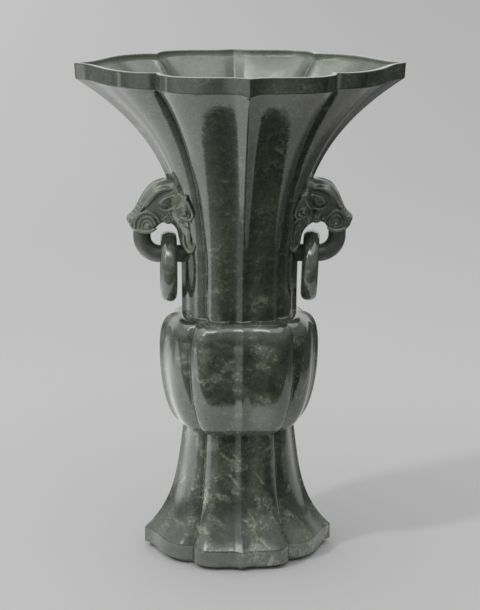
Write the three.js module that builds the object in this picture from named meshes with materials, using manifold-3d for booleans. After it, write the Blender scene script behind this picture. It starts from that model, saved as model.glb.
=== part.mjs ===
// Jade vase in three stacked sections: a trumpet neck, a rounded bulb and a
// flared foot. Every cross-section has four pointed lobes and is flattened
// from front to back. A carved beast head on each side of the neck bites a
// fixed loop, and a loose ring hangs on the loop.
// Millimetres, +Z up, rest face at z = 0, the heads on +X and -X.

import * as THREE from 'three';
import { mergeVertices } from 'three/addons/utils/BufferGeometryUtils.js';
import Module from 'manifold-3d';

const wasm = await Module();
wasm.setup();

// Heights of the stack, from the rest face up
const footRingHeight = 2.6;
const footBandHeight = 9.4;
const footFlareHeight = 68.5;
const bulbLowerHeight = 45.5;
const bulbUpperHeight = 24.5;
const neckFlareHeight = 140.5;
const rimBandHeight = 9;

const footFlareZ = footRingHeight + footBandHeight;
const footSeatZ = footFlareZ + footFlareHeight;
const bulbWidestZ = footSeatZ + bulbLowerHeight;
const neckSeatZ = bulbWidestZ + bulbUpperHeight;
const rimBandZ = neckSeatZ + neckFlareHeight;
const rimZ = rimBandZ + rimBandHeight;

// Sections: the reach of the side and front cusps, and the corner between lobes
const rim = { side: 97, front: 73, notchX: 50.2, notchY: 46.9 };
const throat = { side: 34.9, front: 28.5, notchX: 21.2, notchY: 20.2 };
const bulb = { side: 48.5, front: 38.5, notchX: 31, notchY: 28.2 };
const footTop = { side: 34, front: 26.4, notchX: 20.6, notchY: 19.4 };
const footEdge = { side: 58.3, front: 45.4, notchX: 29.4, notchY: 31 };
const footRingInset = 3.7;
const rimBandLean = 0.5;

// Roundness of a half lobe: its bulge over its chord, where the bulge peaks, and
// the share of the chord it covers, so that the rest runs straight to the cusp
const sideBulge = 0.145;
const frontBulge = 0.195;
const bulgeEnd = 0.86;
const bulgeRise = 0.8;
const cuspHollow = 1.5;
const pointsPerHalfLobe = 6;
const cornerCrowding = 1.3;
const cornerWallShare = 0.72;

// Curves of the three sections along their height
const neckFlareTurn = 3.57;
const notchFlareTurn = 2.5;
const notchFlareEase = 0.81;
const frontFlareTurn = 1.7;
const frontFlareEase = 0.9;
const shoulderRoundness = 2.9;
const bellyRoundness = 1.95;
const footSlope = 0.37;
const footFlareTurn = 4.2;
const flareCrowding = 1.35;
const bellyCrowding = 0.6;
const shoulderCrowding = 1.7;
const footCrowding = 1.5;
const hollowCrowding = 1.2;

// Walls and the seats between the sections
const lipWall = 3.5;
const neckWall = 6.9;
const bulbWall = 7.5;
const bulbFloor = 8;
const footWall = 6.5;
const footRingWall = 5;
const footWeb = 7;
const hollowLift = 5.5;
const seatShoulder = 3.2;
const neckTenonDepth = 7;
const footTenonShoulder = 7;
const footTenonDepth = 7;
const clearance = 0.3;

// Loose rings and fixed loops, placed from the throat and the neck's seat
const ringStandOff = 7.7;
const loopBarRise = 35.9;
const loopBarRadius = 5.2;
const loopBend = 10.8;
const loopReach = 15.7;
const loopSocketDepth = 3.6;
const loopPegRadius = 3;
const loopPegLength = 5;
const loopPegRoot = 1;
const ringOuterRadius = 21.4;
const ringBarRadial = 8.2;
const ringBarAxial = 9.7;
const rightRingLean = THREE.MathUtils.degToRad(2);
const rightRingTwist = THREE.MathUtils.degToRad(-6);

const ringX = throat.side + ringStandOff;
const loopBarZ = neckSeatZ + loopBarRise;
const ringInnerRadius = ringOuterRadius - ringBarRadial;
const ringDrop = ringInnerRadius - loopBarRadius - clearance;

// Beast heads: outlines are drawn from the point where the ring hangs, in steps
// of the carving unit
const carvingUnit = 1;
const mouthFaceRise = 14.1;
const headHalfThickness = 9.5;
const headEdgeRound = 3;
const edgeDrawnIn = 1.8;
const faceSink = 0.4;
const faceProud = 0.4;
const maneDepth = 5.9;
const curlEndShare = 0.2;
const noseX = 21.4;
const noseRise = 21.8;
const noseRadius = 3.4;
const noseBreadth = 1.6;
const cheekHalfThickness = 13.5;
const snoutStart = 8;
const snoutEnd = 24;
const snoutNarrowing = 0.25;
const scrollSpreadStart = 4;
const scrollSpreadEnd = 15;
const cheekSpreadStart = 1;
const cheekSpreadEnd = 10;
const cheekRiseStart = 20;
const cheekRiseEnd = 31;
const leftSpread = 0.8;
const rightSpread = 0.65;
const saddleStart = 20;
const saddleEnd = 100;
const carvingTolerance = 0.06;

// Finishes
const finish = {
  body: { color: 0x4f5b4b, roughness: 0.2 },
  carving: { color: 0x5e6957, roughness: 0.28 },
  loop: { color: 0x2d342d, roughness: 0.25 },
  ring: { color: 0x566150, roughness: 0.2 },
};

// Section arithmetic

function combine(a, b, mix) {
  return {
    side: mix(a.side, b.side),
    front: mix(a.front, b.front),
    notchX: mix(a.notchX, b.notchX),
    notchY: mix(a.notchY, b.notchY),
  };
}

function blend(from, to, weight) {
  return combine(from, to, (p, q) => THREE.MathUtils.lerp(p, q, weight));
}

// A wall measured square to the lobes moves the corner by less than the cusps
function inset(section, wall) {
  return {
    side: section.side - wall,
    front: section.front - wall,
    notchX: section.notchX - wall * cornerWallShare,
    notchY: section.notchY - wall * cornerWallShare,
  };
}

const smaller = (a, b) => combine(a, b, Math.min);

// Points from the corner to a cusp: round by the corner, straight by the cusp
function halfLobe(corner, cusp, bulge) {
  const chord = cusp.clone().sub(corner);
  const outward = new THREE.Vector2(chord.y, -chord.x).normalize();
  if (outward.dot(corner) < 0) outward.negate();
  const peak = bulgeRise / (bulgeRise + cuspHollow);
  const peakValue = peak ** bulgeRise * (1 - peak) ** cuspHollow;
  const points = [];
  for (let i = 0; i <= pointsPerHalfLobe; i += 1) {
    const t = (i / pointsPerHalfLobe) ** cornerCrowding;
    const share = Math.min(t / bulgeEnd, 1);
    const height = (share ** bulgeRise * (1 - share) ** cuspHollow) / peakValue;
    const point = corner.clone().addScaledVector(chord, t);
    points.push(point.addScaledVector(outward, height * bulge * chord.length()));
  }
  return points;
}

// The whole loop of a section, anticlockwise from the +X cusp
function outline(section) {
  const corner = new THREE.Vector2(section.notchX, section.notchY);
  const toSide = halfLobe(corner, new THREE.Vector2(section.side, 0), sideBulge);
  const toFront = halfLobe(corner, new THREE.Vector2(0, section.front), frontBulge);
  const quarter = [...toSide.reverse(), ...toFront.slice(1)];
  const mirror = (points, sx, sy) => points.map((p) => new THREE.Vector2(p.x * sx, p.y * sy));
  const back = quarter.slice().reverse();
  return [
    ...quarter.slice(0, -1),
    ...mirror(back, -1, 1).slice(0, -1),
    ...mirror(quarter, -1, -1).slice(0, -1),
    ...mirror(back, 1, -1).slice(0, -1),
  ];
}

// Solids from sections

// A skin through levels of { z, section }. A tube joins its last level to its
// first; any other stack is closed with a flat face at each end.
function loft(levels, isTube) {
  const position = [];
  const index = [];
  const count = outline(levels[0].section).length;
  for (const level of levels) {
    for (const point of outline(level.section)) position.push(point.x, point.y, level.z);
  }
  const bands = isTube ? levels.length : levels.length - 1;
  for (let i = 0; i < bands; i += 1) {
    const here = i * count;
    const next = ((i + 1) % levels.length) * count;
    for (let j = 0; j < count; j += 1) {
      const k = (j + 1) % count;
      index.push(here + j, here + k, next + k, here + j, next + k, next + j);
    }
  }
  if (!isTube) {
    const last = (levels.length - 1) * count;
    const centre = position.length / 3;
    position.push(0, 0, levels[0].z, 0, 0, levels[levels.length - 1].z);
    for (let j = 0; j < count; j += 1) {
      const k = (j + 1) % count;
      index.push(centre, k, j, centre + 1, last + j, last + k);
    }
  }
  const geometry = new THREE.BufferGeometry();
  geometry.setAttribute('position', new THREE.Float32BufferAttribute(position, 3));
  geometry.setIndex(index);
  return geometry;
}

function toManifold(geometry) {
  const bare = geometry.clone();
  bare.deleteAttribute('normal');
  bare.deleteAttribute('uv');
  const merged = mergeVertices(bare, 1e-4);
  return new wasm.Manifold(new wasm.Mesh({
    numProp: 3,
    vertProperties: new Float32Array(merged.attributes.position.array),
    triVerts: new Uint32Array(merged.index.array),
  }));
}

function toGeometry(solid) {
  const mesh = solid.getMesh();
  const geometry = new THREE.BufferGeometry();
  geometry.setAttribute('position', new THREE.BufferAttribute(mesh.vertProperties, 3));
  geometry.setIndex(new THREE.BufferAttribute(mesh.triVerts, 1));
  return geometry;
}

// One body with no chips or sealed pockets left between the carved forms
function wholeBody(solid) {
  const bodies = solid.decompose();
  return bodies.reduce((best, body) => (body.volume() > best.volume() ? body : best));
}

// A round bar between two points
function bar(radius, from, to, sides = 24) {
  const along = to.clone().sub(from);
  const geometry = new THREE.CylinderGeometry(radius, radius, along.length(), sides);
  const up = new THREE.Vector3(0, 1, 0);
  geometry.applyQuaternion(new THREE.Quaternion().setFromUnitVectors(up, along.clone().normalize()));
  const middle = from.clone().add(to).multiplyScalar(0.5);
  return geometry.translate(middle.x, middle.y, middle.z);
}

// The same solid on the other side of the vase or of the head
function mirrored(geometry, axis) {
  const copy = geometry.clone();
  copy.scale(axis === 'x' ? -1 : 1, axis === 'y' ? -1 : 1, 1);
  const order = copy.index.array;
  for (let i = 0; i < order.length; i += 3) {
    [order[i], order[i + 1]] = [order[i + 1], order[i]];
  }
  return copy;
}

// Outside forms along the height

function neckOutside(z) {
  const s = THREE.MathUtils.clamp((z - neckSeatZ) / neckFlareHeight, 0, 1);
  const bandFoot = { ...rim, side: rim.side - rimBandLean, front: rim.front - rimBandLean };
  const top = z > rimBandZ ? blend(bandFoot, rim, (z - rimBandZ) / rimBandHeight) : bandFoot;
  const frontShare = 1 - (1 - s ** frontFlareTurn) ** frontFlareEase;
  const notchShare = 1 - (1 - s ** notchFlareTurn) ** notchFlareEase;
  return {
    side: blend(throat, top, s ** neckFlareTurn).side,
    front: blend(throat, top, frontShare).front,
    notchX: blend(throat, top, notchShare).notchX,
    notchY: blend(throat, top, (frontShare + notchShare) / 2).notchY,
  };
}

function bulbOutside(z) {
  if (z >= bulbWidestZ) {
    const u = Math.min((z - bulbWidestZ) / bulbUpperHeight, 1);
    return blend(throat, bulb, (1 - u ** shoulderRoundness) ** (1 / shoulderRoundness));
  }
  const u = Math.min((bulbWidestZ - z) / bulbLowerHeight, 1);
  return blend(footTop, bulb, (1 - u ** bellyRoundness) ** (1 / bellyRoundness));
}

function footOutside(z) {
  const s = THREE.MathUtils.clamp((footSeatZ - z) / footFlareHeight, 0, 1);
  return blend(footTop, footEdge, footSlope * s + (1 - footSlope) * s ** footFlareTurn);
}

// Heights from one level to another, crowded towards the end by a power
function heights(from, to, count, crowding = 1) {
  return Array.from({ length: count + 1 }, (_, i) => {
    const t = i / count;
    return THREE.MathUtils.lerp(from, to, 1 - (1 - t) ** crowding);
  });
}

const levelsOf = (zs, sectionAt) => zs.map((z) => ({ z, section: sectionAt(z) }));

// The three sections of the vase

function trumpetNeck() {
  const tenon = inset(throat, seatShoulder);
  const bore = inset(throat, neckWall);
  const lip = inset(rim, lipWall);
  const inside = (z) => {
    const s = THREE.MathUtils.clamp((z - neckSeatZ) / neckFlareHeight, 0, 1);
    const wall = THREE.MathUtils.lerp(neckWall, lipWall, s);
    return smaller(inset(neckOutside(z - hollowLift), wall), lip);
  };
  const lipZ = rimZ - lipWall;
  const levels = [
    { z: neckSeatZ - neckTenonDepth, section: tenon },
    { z: neckSeatZ, section: tenon },
    ...levelsOf(heights(neckSeatZ, rimBandZ, 16, flareCrowding), neckOutside),
    { z: rimZ, section: rim },
    { z: rimZ, section: lip },
    ...levelsOf(heights(neckSeatZ, lipZ, 13, flareCrowding), inside).reverse(),
    { z: neckSeatZ - neckTenonDepth, section: bore },
  ];
  let solid = toManifold(loft(levels, true));
  for (const side of [1, -1]) {
    const floor = new THREE.Vector3(side * (throat.side - loopSocketDepth - clearance), 0, loopBarZ);
    const mouth = new THREE.Vector3(side * ringX, 0, loopBarZ);
    solid = solid.subtract(toManifold(bar(loopBarRadius + clearance, floor, mouth)));
  }
  return toGeometry(solid);
}

function bulbSection() {
  const tenon = inset(footTop, footTenonShoulder);
  const socket = inset(throat, seatShoulder - clearance);
  const socketZ = neckSeatZ - neckTenonDepth - clearance;
  const floorZ = footSeatZ + bulbFloor;
  const inside = (z) => {
    const rise = Math.sin(Math.PI * (z - floorZ) / (socketZ - floorZ));
    return blend(inset(footTop, bulbWall), inset(bulbOutside(z), bulbWall), rise ** 0.5);
  };
  const levels = [
    { z: footSeatZ - footTenonDepth, section: tenon },
    { z: footSeatZ, section: tenon },
    ...levelsOf(heights(footSeatZ, bulbWidestZ, 9, bellyCrowding), bulbOutside),
    ...levelsOf(heights(bulbWidestZ, neckSeatZ, 8, shoulderCrowding).slice(1), bulbOutside),
    { z: neckSeatZ, section: socket },
    { z: socketZ, section: socket },
    ...levelsOf(heights(floorZ, socketZ, 9).slice(0, -1), inside).reverse(),
  ];
  return loft(levels, false);
}

function flaredFoot() {
  const ring = inset(footEdge, footRingInset);
  const ringInside = inset(ring, footRingWall);
  const socket = inset(footTop, footTenonShoulder - clearance);
  const socketZ = footSeatZ - footTenonDepth - clearance;
  const ceilingZ = socketZ - footWeb;
  const inside = (z) => smaller(inset(footOutside(z + hollowLift), footWall), ringInside);
  const levels = [
    ...levelsOf(heights(ceilingZ, footFlareZ, 7, hollowCrowding), inside),
    { z: 0, section: ringInside },
    { z: 0, section: ring },
    { z: footRingHeight, section: ring },
    { z: footRingHeight, section: footEdge },
    ...levelsOf(heights(footSeatZ, footFlareZ, 10, footCrowding), footOutside).reverse(),
    { z: footSeatZ, section: socket },
    { z: socketZ, section: socket },
  ];
  return loft(levels, false);
}

// Beast heads, in a frame with its origin where the right ring hangs

// A slab with rounded edges, from a smooth outline in the upright plane
function slab(corners, halfThickness, samples) {
  const knots = corners.map(([x, z]) => new THREE.Vector3(x, z, 0).multiplyScalar(carvingUnit));
  const curve = new THREE.CatmullRomCurve3(knots, true, 'centripetal');
  const line = curve.getPoints(samples).slice(0, -1).map((p) => new THREE.Vector2(p.x, p.y));
  if (THREE.ShapeUtils.isClockWise(line)) line.reverse();
  const inward = line.map((_, i) => {
    const before = line[(i + samples - 1) % samples];
    const after = line[(i + 1) % samples];
    return new THREE.Vector2(before.y - after.y, after.x - before.x).normalize();
  });

  // Layers from +Y to -Y, drawn in towards each face: shares of the edge's height and draw
  const shoulder = [[0, 1], [0.3, 0.3], [1, 0]];
  const layers = shoulder.map(([down, pull]) => [halfThickness - down * headEdgeRound, pull * edgeDrawnIn]);
  for (const [y, pull] of layers.slice().reverse()) layers.push([-y, pull]);
  const position = [];
  const index = [];
  layers.forEach(([y, pull], row) => {
    line.forEach((point, i) => {
      position.push(point.x + inward[i].x * pull, y, point.y + inward[i].y * pull);
      if (row === layers.length - 1) return;
      const here = row * samples + i;
      const beside = row * samples + ((i + 1) % samples);
      index.push(here, beside, beside + samples, here, beside + samples, here + samples);
    });
  });
  const last = (layers.length - 1) * samples;
  for (const [i, j, k] of THREE.ShapeUtils.triangulateShape(line, [])) {
    index.push(i, k, j, last + i, last + j, last + k);
  }
  const geometry = new THREE.BufferGeometry();
  geometry.setAttribute('position', new THREE.Float32BufferAttribute(position, 3));
  geometry.setIndex(index);
  return geometry;
}

// A carved lock of hair or lip: a round strand whose radius swells and tapers
function strand(points, radius, y, tip = 0.45, steps = 7, sides = 5) {
  const knots = points.map(([x, z]) => new THREE.Vector3(x * carvingUnit, y, z * carvingUnit));
  const thick = radius * carvingUnit;
  const curve = new THREE.CatmullRomCurve3(knots, false, 'centripetal');
  const position = [];
  const index = [];
  const across = new THREE.Vector3();
  for (let i = 0; i <= steps; i += 1) {
    const t = i / steps;
    const centre = curve.getPoint(t);
    const swell = tip + (1 - tip) * Math.sin(Math.PI * t) ** 0.6;
    across.crossVectors(curve.getTangent(t), new THREE.Vector3(0, 1, 0)).normalize();
    for (let j = 0; j < sides; j += 1) {
      const angle = (2 * Math.PI * j) / sides;
      const out = across.clone().multiplyScalar(Math.cos(angle) * thick * swell);
      position.push(centre.x + out.x, centre.y + Math.sin(angle) * thick * swell, centre.z + out.z);
    }
  }
  for (let i = 0; i < steps; i += 1) {
    for (let j = 0; j < sides; j += 1) {
      const k = (j + 1) % sides;
      const here = i * sides;
      const next = here + sides;
      index.push(here + j, next + k, here + k, here + j, next + j, next + k);
    }
  }
  for (let j = 1; j < sides - 1; j += 1) {
    const last = steps * sides;
    index.push(0, j, j + 1, last, last + j + 1, last + j);
  }
  const geometry = new THREE.BufferGeometry();
  geometry.setAttribute('position', new THREE.Float32BufferAttribute(position, 3));
  geometry.setIndex(index);
  return geometry;
}

// Points of a curl that winds in from a start angle, in the upright plane
function curl(x, z, radius, startAngle, turns, count = 8) {
  return Array.from({ length: count + 1 }, (_, i) => {
    const t = i / count;
    const angle = startAngle + 2 * Math.PI * turns * t;
    const reach = radius * (1 - (1 - curlEndShare) * t);
    return [x + reach * Math.cos(angle), z + reach * Math.sin(angle)];
  });
}

// The arched neck, muzzle and hanging scroll in one outline
const headOutline = [
  [-9, 45], [1.5, 45.6], [9, 43], [13.6, 38.5], [16.4, 33.5], [18.2, 29],
  [20.4, 25.6], [23.2, 22.6], [23.6, 19.2], [21.6, 15.6], [19, mouthFaceRise / carvingUnit],
  [11.6, mouthFaceRise / carvingUnit], [9.4, 16.6], [6, 19], [1.7, 19.9], [-1.8, 19],
  [-4.6, 16], [-6, 11], [-7, 6.6], [-9.4, 4.4], [-12, 6.6], [-13.5, 20],
];
const cheekOutline = [
  [-4.8, 39.6], [-9.4, 39.4], [-12, 34.4], [-13, 27.8], [-12.4, 24.4], [-15, 18.4],
  [-15.4, 12], [-13.8, 7], [-10.8, 5.4], [-8, 9.6], [-6.8, 14.6], [-4.8, 19.6],
  [-1.6, 24.6], [-1.2, 33],
];

// Locks, lips and curls: path, radius and depth from the middle plane
function headCarving() {
  const flank = cheekHalfThickness;
  const sunk = headHalfThickness - faceSink;
  const proud = headHalfThickness + faceProud;
  return [
    strand([[2, 43.8], [8, 41.2], [12, 36.6], [15, 31.6], [17.4, 27.6]], 2.1, maneDepth),
    strand([[0, 42.6], [6.2, 39.6], [9.6, 35.8], [11.6, 31.8], [12.8, 28.6]], 1.9, sunk),
    strand([[6.2, 33], [3, 36.4], [-1.2, 38.2], [-4.8, 37.6]], 2.7, proud, 0.25),
    strand([[1, 30.2], [-3, 33.4], [-5.4, 37.4], [-8.6, 39.2]], 1.3, flank - faceSink),
    strand([[20.9, 18.6], [18.6, 24.2], [12, 27.4], [7, 24.4], [5.2, 20.2], [7.6, 18]], 1.7, proud),
    strand([[16.8, 19.4], [14.4, 23], [11, 22.6], [9, 19.4]], 1.3, proud),
    strand(curl(-1, 21.8, 2.6, Math.PI, -1.3), 0.9, proud),
    strand([[-6, 38.2], [-11, 36.4], [-12.2, 29.6], [-10.6, 25.6], [-7.4, 26], [-6.4, 29], [-8.6, 30]],
      1.6, flank, 0.5, 11),
    strand([[-10.4, 24], [-14, 18], [-14.4, 11.6], [-11.6, 7], [-8.8, 10.4], [-8.2, 15.6], [-10.2, 19]],
      1.7, flank, 0.5, 11),
  ];
}

function nose() {
  const ball = new THREE.SphereGeometry(noseRadius, 10, 6);
  ball.scale(1, noseBreadth, 1);
  return ball.translate(noseX, 0, noseRise);
}

// The head narrows towards the snout and spreads over the flanks of the neck, sooner at the cheek
function shapeWidth(geometry, spread) {
  const position = geometry.attributes.position;
  for (let i = 0; i < position.count; i += 1) {
    const x = position.getX(i);
    const rise = THREE.MathUtils.smoothstep(position.getZ(i), cheekRiseStart, cheekRiseEnd);
    const start = THREE.MathUtils.lerp(scrollSpreadStart, cheekSpreadStart, rise);
    const end = THREE.MathUtils.lerp(scrollSpreadEnd, cheekSpreadEnd, rise);
    const narrowing = snoutNarrowing * THREE.MathUtils.smoothstep(x, snoutStart, snoutEnd);
    const widening = spread * THREE.MathUtils.smoothstep(-x, start, end);
    position.setY(i, position.getY(i) * (1 - narrowing + widening));
  }
  return geometry;
}

// The right head; the carver spread the scrolls of the two unequally
function beastHead(spread) {
  const skull = slab(headOutline, headHalfThickness, 36);
  const pieces = [skull, slab(cheekOutline, cheekHalfThickness, 22), nose()];
  for (const carved of headCarving()) pieces.push(carved, mirrored(carved, 'y'));
  const solids = pieces.map((piece) => toManifold(shapeWidth(piece, spread)));
  const head = wasm.Manifold.union(solids).translate([ringX, 0, loopBarZ]);

  const neckSkin = levelsOf(heights(neckSeatZ + saddleStart, neckSeatZ + saddleEnd, 16), neckOutside);
  for (const level of neckSkin) level.section = inset(level.section, -clearance);
  const mouth = new THREE.Vector3(ringX + loopReach, 0, loopBarZ + mouthFaceRise);
  const below = mouth.clone().setZ(loopBarZ - loopBarRadius);
  const pegTop = mouth.clone().setZ(mouth.z + loopPegLength + clearance);
  const cut = head
    .subtract(toManifold(loft(neckSkin, false)))
    .subtract(toManifold(bar(loopPegRadius + clearance, below, pegTop)))
    .subtract(toManifold(bar(loopBarRadius + clearance, below, mouth)));
  return toGeometry(wholeBody(cut.simplify(carvingTolerance)));
}

// A round bar along a path in the upright plane, cut square at both ends
function sweptBar(stations, radius, sides) {
  const levels = stations.map((centre, i) => {
    const before = stations[Math.max(i - 1, 0)];
    const after = stations[Math.min(i + 1, stations.length - 1)];
    const tangent = after.clone().sub(before).normalize();
    return { centre, across: new THREE.Vector3(tangent.z, 0, -tangent.x) };
  });
  const position = [];
  const index = [];
  for (const { centre, across } of levels) {
    for (let j = 0; j < sides; j += 1) {
      const angle = (2 * Math.PI * j) / sides;
      const reach = radius * Math.cos(angle);
      position.push(centre.x + across.x * reach, radius * Math.sin(angle), centre.z + across.z * reach);
    }
  }
  for (let i = 0; i < levels.length - 1; i += 1) {
    for (let j = 0; j < sides; j += 1) {
      const k = (j + 1) % sides;
      const here = i * sides;
      const next = here + sides;
      index.push(here + j, here + k, next + k, here + j, next + k, next + j);
    }
  }
  const last = (levels.length - 1) * sides;
  for (let j = 1; j < sides - 1; j += 1) index.push(0, j + 1, j, last, last + j, last + j + 1);
  const geometry = new THREE.BufferGeometry();
  geometry.setAttribute('position', new THREE.Float32BufferAttribute(position, 3));
  geometry.setIndex(index);
  return geometry;
}

// Fixed loop: down out of the mouth, round a quarter bend and into the neck
function fixedLoop() {
  const mouthX = ringX + loopReach;
  const mouthZ = loopBarZ + mouthFaceRise;
  const bendSteps = 8;
  const stations = [new THREE.Vector3(mouthX, 0, mouthZ)];
  for (let i = 0; i <= bendSteps; i += 1) {
    const angle = (Math.PI / 2) * (i / bendSteps);
    const x = mouthX - loopBend * (1 - Math.cos(angle));
    stations.push(new THREE.Vector3(x, 0, loopBarZ + loopBend * (1 - Math.sin(angle))));
  }
  stations.push(new THREE.Vector3(throat.side - loopSocketDepth, 0, loopBarZ));
  const pegFoot = new THREE.Vector3(mouthX, 0, mouthZ - loopPegRoot);
  const pegTop = new THREE.Vector3(mouthX, 0, mouthZ + loopPegLength);
  const peg = toManifold(bar(loopPegRadius, pegFoot, pegTop, 16));
  return toGeometry(toManifold(sweptBar(stations, loopBarRadius, 18)).add(peg));
}

// Loose ring: an oval bar turned round the X axis
function looseRing() {
  const middle = ringOuterRadius - ringBarRadial / 2;
  const profile = [];
  const sides = 12;
  for (let i = 0; i <= sides; i += 1) {
    const angle = (2 * Math.PI * i) / sides;
    const across = (ringBarRadial / 2) * Math.cos(angle);
    const along = (ringBarAxial / 2) * Math.sin(angle);
    profile.push(new THREE.Vector2(middle + across, along));
  }
  const geometry = new THREE.LatheGeometry(profile, 30);
  geometry.deleteAttribute('normal');
  geometry.deleteAttribute('uv');
  return mergeVertices(geometry, 1e-4).rotateZ(Math.PI / 2);
}

// The scene

function node(name, geometry, look) {
  geometry.computeVertexNormals();
  const mesh = new THREE.Mesh(geometry, new THREE.MeshStandardMaterial({ ...look, metalness: 0 }));
  mesh.name = name;
  return mesh;
}

const vase = new THREE.Group();
vase.name = 'jade_vase';
vase.add(node('trumpet_neck', trumpetNeck(), finish.body));
vase.add(node('bulb_section', bulbSection(), finish.body));
vase.add(node('flared_foot', flaredFoot(), finish.body));

const loop = fixedLoop();
vase.add(node('right_beast_head', beastHead(rightSpread), finish.carving));
vase.add(node('left_beast_head', mirrored(beastHead(leftSpread), 'x'), finish.carving));
vase.add(node('right_fixed_loop', loop, finish.loop));
vase.add(node('left_fixed_loop', mirrored(loop, 'x'), finish.loop));

// Each ring hangs from the middle of its loop's bar. The right one has come to
// rest a little twisted and leaning.
function hungRing(name, side, lean, twist) {
  const hanger = new THREE.Group();
  hanger.position.set(side * ringX, 0, loopBarZ);
  hanger.rotation.set(0, lean, twist, 'ZYX');
  const ring = node(name, looseRing(), finish.ring);
  ring.position.set(0, 0, -ringDrop);
  hanger.add(ring);
  return hanger;
}

vase.add(hungRing('right_loose_ring', 1, rightRingLean, rightRingTwist));
vase.add(hungRing('left_loose_ring', -1, 0, 0));

export default vase;
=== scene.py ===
import math

import bpy
import numpy as np
from mathutils import Matrix, Vector, noise

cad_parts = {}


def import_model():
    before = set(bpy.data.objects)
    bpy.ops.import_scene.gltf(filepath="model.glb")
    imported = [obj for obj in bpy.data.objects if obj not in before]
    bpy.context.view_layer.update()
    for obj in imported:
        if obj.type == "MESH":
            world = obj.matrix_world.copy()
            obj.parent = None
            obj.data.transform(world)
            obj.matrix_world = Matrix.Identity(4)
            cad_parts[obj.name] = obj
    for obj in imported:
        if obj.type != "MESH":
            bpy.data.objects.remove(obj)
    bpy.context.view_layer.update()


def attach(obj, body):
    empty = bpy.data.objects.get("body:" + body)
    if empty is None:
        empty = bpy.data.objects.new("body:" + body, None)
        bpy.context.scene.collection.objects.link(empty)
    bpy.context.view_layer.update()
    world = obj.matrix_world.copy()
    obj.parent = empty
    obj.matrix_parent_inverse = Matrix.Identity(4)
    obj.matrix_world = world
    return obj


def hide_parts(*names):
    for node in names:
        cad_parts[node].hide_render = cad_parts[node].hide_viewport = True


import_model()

# Lengths below are millimetres, in the CAD's own frame; meshes are made in metres
MM = 0.001

# Heights of the stack
FOOT_RING = 2.6
FOOT_BAND_TOP = 12.0
FOOT_SEAT = 80.5
BULB_WIDEST = 126.0
NECK_SEAT = 150.5
RIM_BAND = 291.0
RIM_TOP = 300.0

# Sections: reach of the side cusp, reach of the front cusp, corner x, corner y
RIM = np.array([97.0, 73.0, 50.2, 46.9])
BAND_FOOT = np.array([96.5, 72.5, 50.2, 46.9])
THROAT = np.array([34.9, 28.5, 21.2, 20.2])
BULB = np.array([48.5, 38.5, 31.0, 28.2])
FOOT_TOP = np.array([34.0, 26.4, 20.6, 19.4])
FOOT_EDGE = np.array([58.3, 45.4, 29.4, 31.0])
CORNER_SHARE = np.array([1.0, 1.0, 0.72, 0.72])

# Half lobes
SIDE_BULGE = 0.145
FRONT_BULGE = 0.195
BULGE_END = 0.86
BULGE_RISE = 0.8
CUSP_HOLLOW = 1.5
LOBE_POINTS = 34

# Curves along the height
NECK_TURN = 3.57
NOTCH_TURN = 2.5
NOTCH_EASE = 0.81
FRONT_TURN = 1.7
FRONT_EASE = 0.9
SHOULDER_ROUND = 2.9
BELLY_ROUND = 1.95
FOOT_SLOPE = 0.37
FOOT_TURN = 4.2

# Walls and seats
LIP_WALL = 3.5
NECK_WALL = 6.9
BULB_WALL = 7.5
BULB_FLOOR = 8.0
FOOT_WALL = 6.5
FOOT_RING_INSET = 3.7
FOOT_RING_WALL = 5.0
FOOT_WEB = 7.0
HOLLOW_LIFT = 5.5
SEAT_SHOULDER = 3.2
FOOT_SHOULDER = 7.0
TENON_DEPTH = 7.0
CLEARANCE = 0.3

# Round edges of the three sections, in the order of their runs
NECK_EDGES = [0.6, 0.5, 0.8, 0.4, 0.4, 0.3, 0.45]
BULB_EDGES = [0.4, 0.3, 0.8, 0.45, 0.3, 0.3, 0.4, 1.5]
FOOT_EDGES = [1.0, 0.5, 0.3, 0.5, 0.6, 0.7, 0.8, 0.3, 0.3]

# The front cusp's dip under the rim band: depth, half width, half height
RIM_DIP = 1.4
RIM_DIP_WIDTH = 3.5
RIM_DIP_HEIGHT = 2.2

# Unevenness left by hand polishing: size of the waves and their depth
WAVE_SIZE = 24.0
WAVE_DEPTH = 0.22
WAVE_LEAST_REACH = 15

# Loops and rings
RING_X = 42.6
LOOP_Z = 186.4
LOOP_RADIUS = 5.2
LOOP_BEND = 10.8
LOOP_REACH = 15.7
LOOP_SOCKET = 3.6
MOUTH_RISE = 14.1
RING_MIDDLE = 17.3
RING_RADIAL = 8.2
RING_AXIAL = 9.7
RING_DROP = 7.7
RING_SQUARENESS = 0.92
RING_SIDES = 40
RING_TURNS = 120
LOOP_SIDES = 48
RIGHT_RING_LEAN = 2
RIGHT_RING_TWIST = -6

# Heads: how far each spreads over the neck and is moved out, and the ranges of x or z where this fades
RIGHT_SPREAD = 0.65
LEFT_SPREAD = 0.8
RIGHT_SHIFT = 1.8
LEFT_SHIFT = 0.0
SCROLL_SPREAD = (4, 15)
CHEEK_SPREAD = (1, 10)
CHEEK_RISE = (20, 31)
SCROLL_TOP = (12, 20)
SNOUT = (8, 24)
SNOUT_ROOT = (8, 22)
SCROLL_SHARE = 0.6
SNOUT_NARROWING = 0.25
SEAT_DEPTH = 0.35
SEAT_STEEPNESS = 0.9

# Stone: index of refraction, how much the polish varies, faint glow below the surface, its fine waves
JADE_IOR = 1.61
POLISH_BEST = 0.7
POLISH_WORST = 1.6
GLOW_SHARE = 0.06
GLOW_DEPTH = 0.003
GLOW_COLOUR = (0.6, 1.0, 0.7)
BUMP_STRENGTH = 0.35
BUMP_DEPTH = 0.0003

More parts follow.
